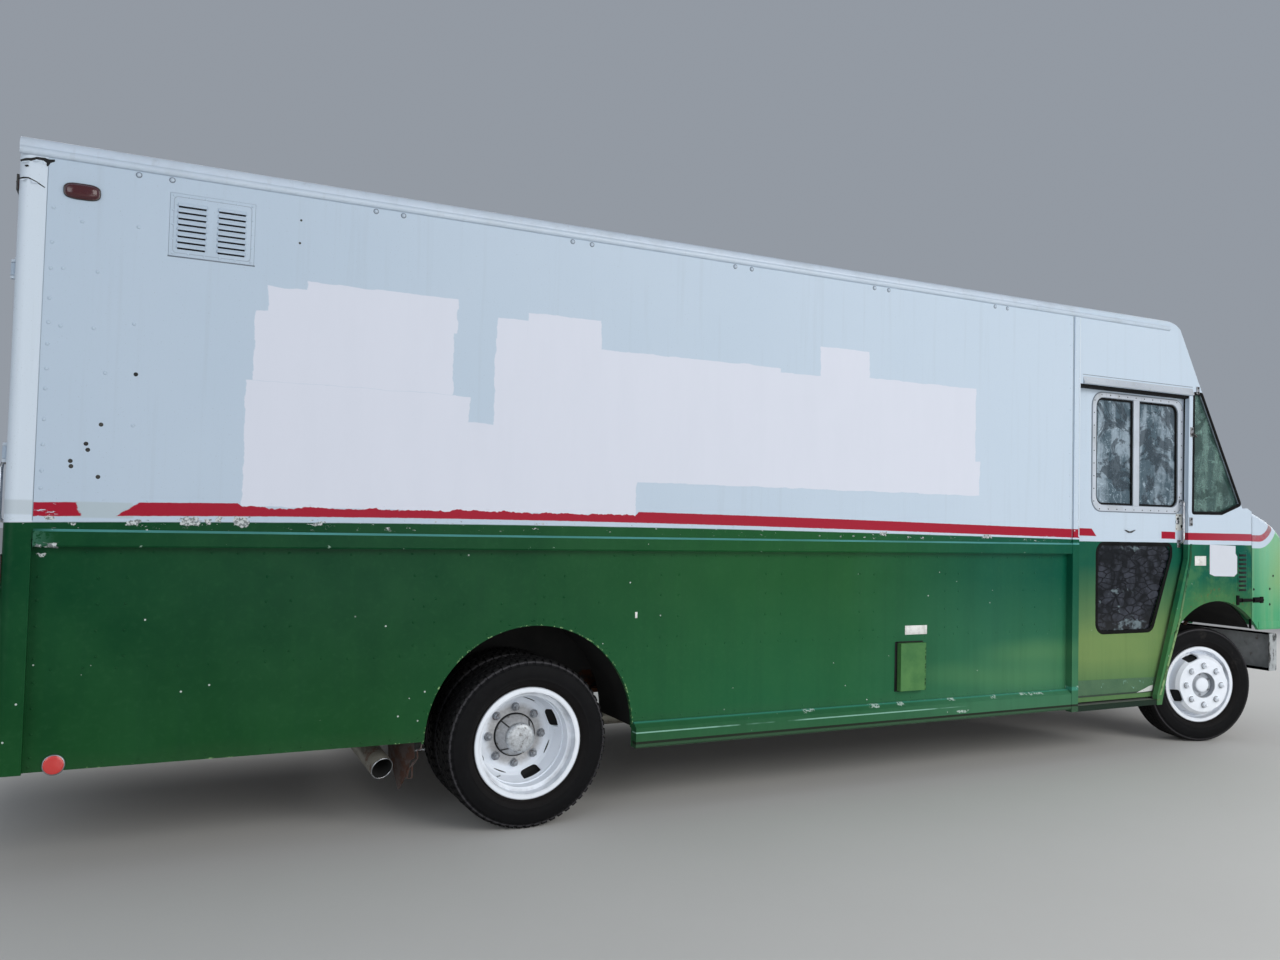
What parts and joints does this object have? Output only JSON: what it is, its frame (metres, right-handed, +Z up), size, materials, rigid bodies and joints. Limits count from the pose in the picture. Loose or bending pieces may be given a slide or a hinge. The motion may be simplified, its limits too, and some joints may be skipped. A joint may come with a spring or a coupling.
{
  "type": "walk-in step van",
  "caption": "Walk-in step van with a tall box body, short tilting nose, sliding cab doors, hinged rear doors, twin rear wheels and steered front wheels.",
  "frame": {"origin": "on the ground under the middle of the overall length and width", "axes": "+X forwards, +Y to the van's left, +Z up"},
  "size_m": [8.336, 2.438, 2.9639],
  "materials": {
    "body_white": "satin",
    "body_green": "satin",
    "frame_black": "matte",
    "wheel_white": "satin",
    "tyre": "matte",
    "bare_aluminium": "satin",
    "steel": "matte",
    "rusty_steel": "matte",
    "cast": "matte",
    "rubber": "matte",
    "black_plastic": "matte",
    "seat_vinyl": "satin",
    "glass": "gloss",
    "lamp": "gloss",
    "red_lens": "gloss",
    "plywood": "matte"
  },
  "bodies": {
    "van": {"chassis_rails": "frame_black", "cross_members": "frame_black", "frame_brackets": "frame_black", "engine_block": "cast", "radiator": "frame_black", "front_axle": "frame_black", "rear_axle": "frame_black", "leaf_springs": "frame_black", "driveshaft": "steel", "fuel_tank": "bare_aluminium", "exhaust": "rusty_steel", "front_bumper": "body_white", "rear_bumper": "frame_black", "mud_flaps": "rubber", "right_wall": "body_white", "left_wall": "body_white", "rub_rails": "body_green", "rear_frame": "body_white", "roof": "body_white", "roof_mouldings": "body_white", "front_cap": "body_white", "cab_glass": "glass", "cowl": "body_green", "wheel_wells": "frame_black", "cargo_floor": "plywood", "bulkhead": "body_white", "cab_floor": "bare_aluminium", "step_wells": "bare_aluminium", "engine_cover": "black_plastic", "dashboard": "black_plastic", "seat_base": "frame_black", "driver_seat": "seat_vinyl", "tail_lamps": "red_lens"},
    "hood": {"hood": "body_green", "grille": "black_plastic", "headlamps": "lamp"},
    "right_cab_door": {"right_door": "body_white", "right_door_glass": "glass"},
    "left_cab_door": {"left_door": "body_white", "left_door_glass": "glass"},
    "right_rear_door": {"rear_door_right": "body_white", "rear_glass_right": "glass"},
    "left_rear_door": {"rear_door_left": "body_white", "rear_glass_left": "glass"},
    "fuel_flap": {"fuel_door": "body_green"},
    "right_steering_knuckle": {"right_knuckle": "frame_black"},
    "left_steering_knuckle": {"left_knuckle": "frame_black"},
    "steering_tie_rod": {"tie_rod": "frame_black"},
    "right_front_wheel": {"right_front_wheel": "wheel_white", "right_front_tyre": "tyre"},
    "left_front_wheel": {"left_front_wheel": "wheel_white", "left_front_tyre": "tyre"},
    "right_rear_wheels": {"right_rear_wheels": "wheel_white", "right_rear_tyres": "tyre"},
    "left_rear_wheels": {"left_rear_wheels": "wheel_white", "left_rear_tyres": "tyre"},
    "steering_wheel": {"steering_wheel": "black_plastic"}
  },
  "joints": [
    {"name": "hood_tilt", "type": "hinge", "parent": "van", "child": "hood", "pos_m": [4.098, 0, 0.768], "axis": [0, 1, 0], "range_deg": [0, 60]},
    {"name": "right_cab_door_slide", "type": "slide", "parent": "van", "child": "right_cab_door", "axis": [-1, 0, 0], "range_m": [0, 0.9]},
    {"name": "left_cab_door_slide", "type": "slide", "parent": "van", "child": "left_cab_door", "axis": [-1, 0, 0], "range_m": [0, 0.9]},
    {"name": "right_rear_door_hinge", "type": "hinge", "parent": "van", "child": "right_rear_door", "pos_m": [-3.995, -1.048, 1.7], "axis": [0, 0, 1], "range_deg": [0, 165]},
    {"name": "left_rear_door_hinge", "type": "hinge", "parent": "van", "child": "left_rear_door", "pos_m": [-3.995, 1.048, 1.7], "axis": [0, 0, 1], "range_deg": [-165, 0]},
    {"name": "fuel_flap_hinge", "type": "hinge", "parent": "van", "child": "fuel_flap", "pos_m": [0.676, -1.172, 0.664], "axis": [0, 0, 1], "range_deg": [0, 110]},
    {"name": "right_steer", "type": "hinge", "parent": "van", "child": "right_steering_knuckle", "pos_m": [3.362, -0.87, 0.405], "axis": [0, 0, 1], "range_deg": [-18.5, 51.5]},
    {"name": "left_steer", "type": "hinge", "parent": "van", "child": "left_steering_knuckle", "pos_m": [3.362, 0.87, 0.405], "axis": [0, 0, 1], "range_deg": [-18.5, 51.5]},
    {"name": "tie_rod_end", "type": "hinge", "parent": "right_steering_knuckle", "child": "steering_tie_rod", "pos_m": [3.18941, -0.81888, 0.316], "axis": [0, 0, 1], "range_deg": [-51.5, 18.5]},
    {"name": "steering_wheel_turn", "type": "hinge", "parent": "van", "child": "steering_wheel", "pos_m": [3.04455, 0.56, 1.55702], "axis": [-0.6222, 0, 0.7828], "range_deg": [-370, 1030]},
    {"name": "right_front_wheel_spin", "type": "hinge", "parent": "right_steering_knuckle", "child": "right_front_wheel", "pos_m": [3.32309, -1.00136, 0.405], "axis": [-0.284, -0.9588, 0], "continuous": true},
    {"name": "left_front_wheel_spin", "type": "hinge", "parent": "left_steering_knuckle", "child": "left_front_wheel", "pos_m": [3.40091, 1.00136, 0.405], "axis": [0.284, 0.9588, 0], "continuous": true},
    {"name": "right_rear_wheels_spin", "type": "hinge", "parent": "van", "child": "right_rear_wheels", "pos_m": [-1.797, -0.975, 0.405], "axis": [0, 1, 0], "continuous": true},
    {"name": "left_rear_wheels_spin", "type": "hinge", "parent": "van", "child": "left_rear_wheels", "pos_m": [-1.797, 0.975, 0.405], "axis": [0, 1, 0], "continuous": true}
  ],
  "couplings": [
    {"joint": "left_steer", "follows": "right_steer", "ratio": 1},
    {"joint": "tie_rod_end", "follows": "right_steer", "ratio": -1},
    {"joint": "steering_wheel_turn", "follows": "right_steer", "ratio": 20}
  ]
}
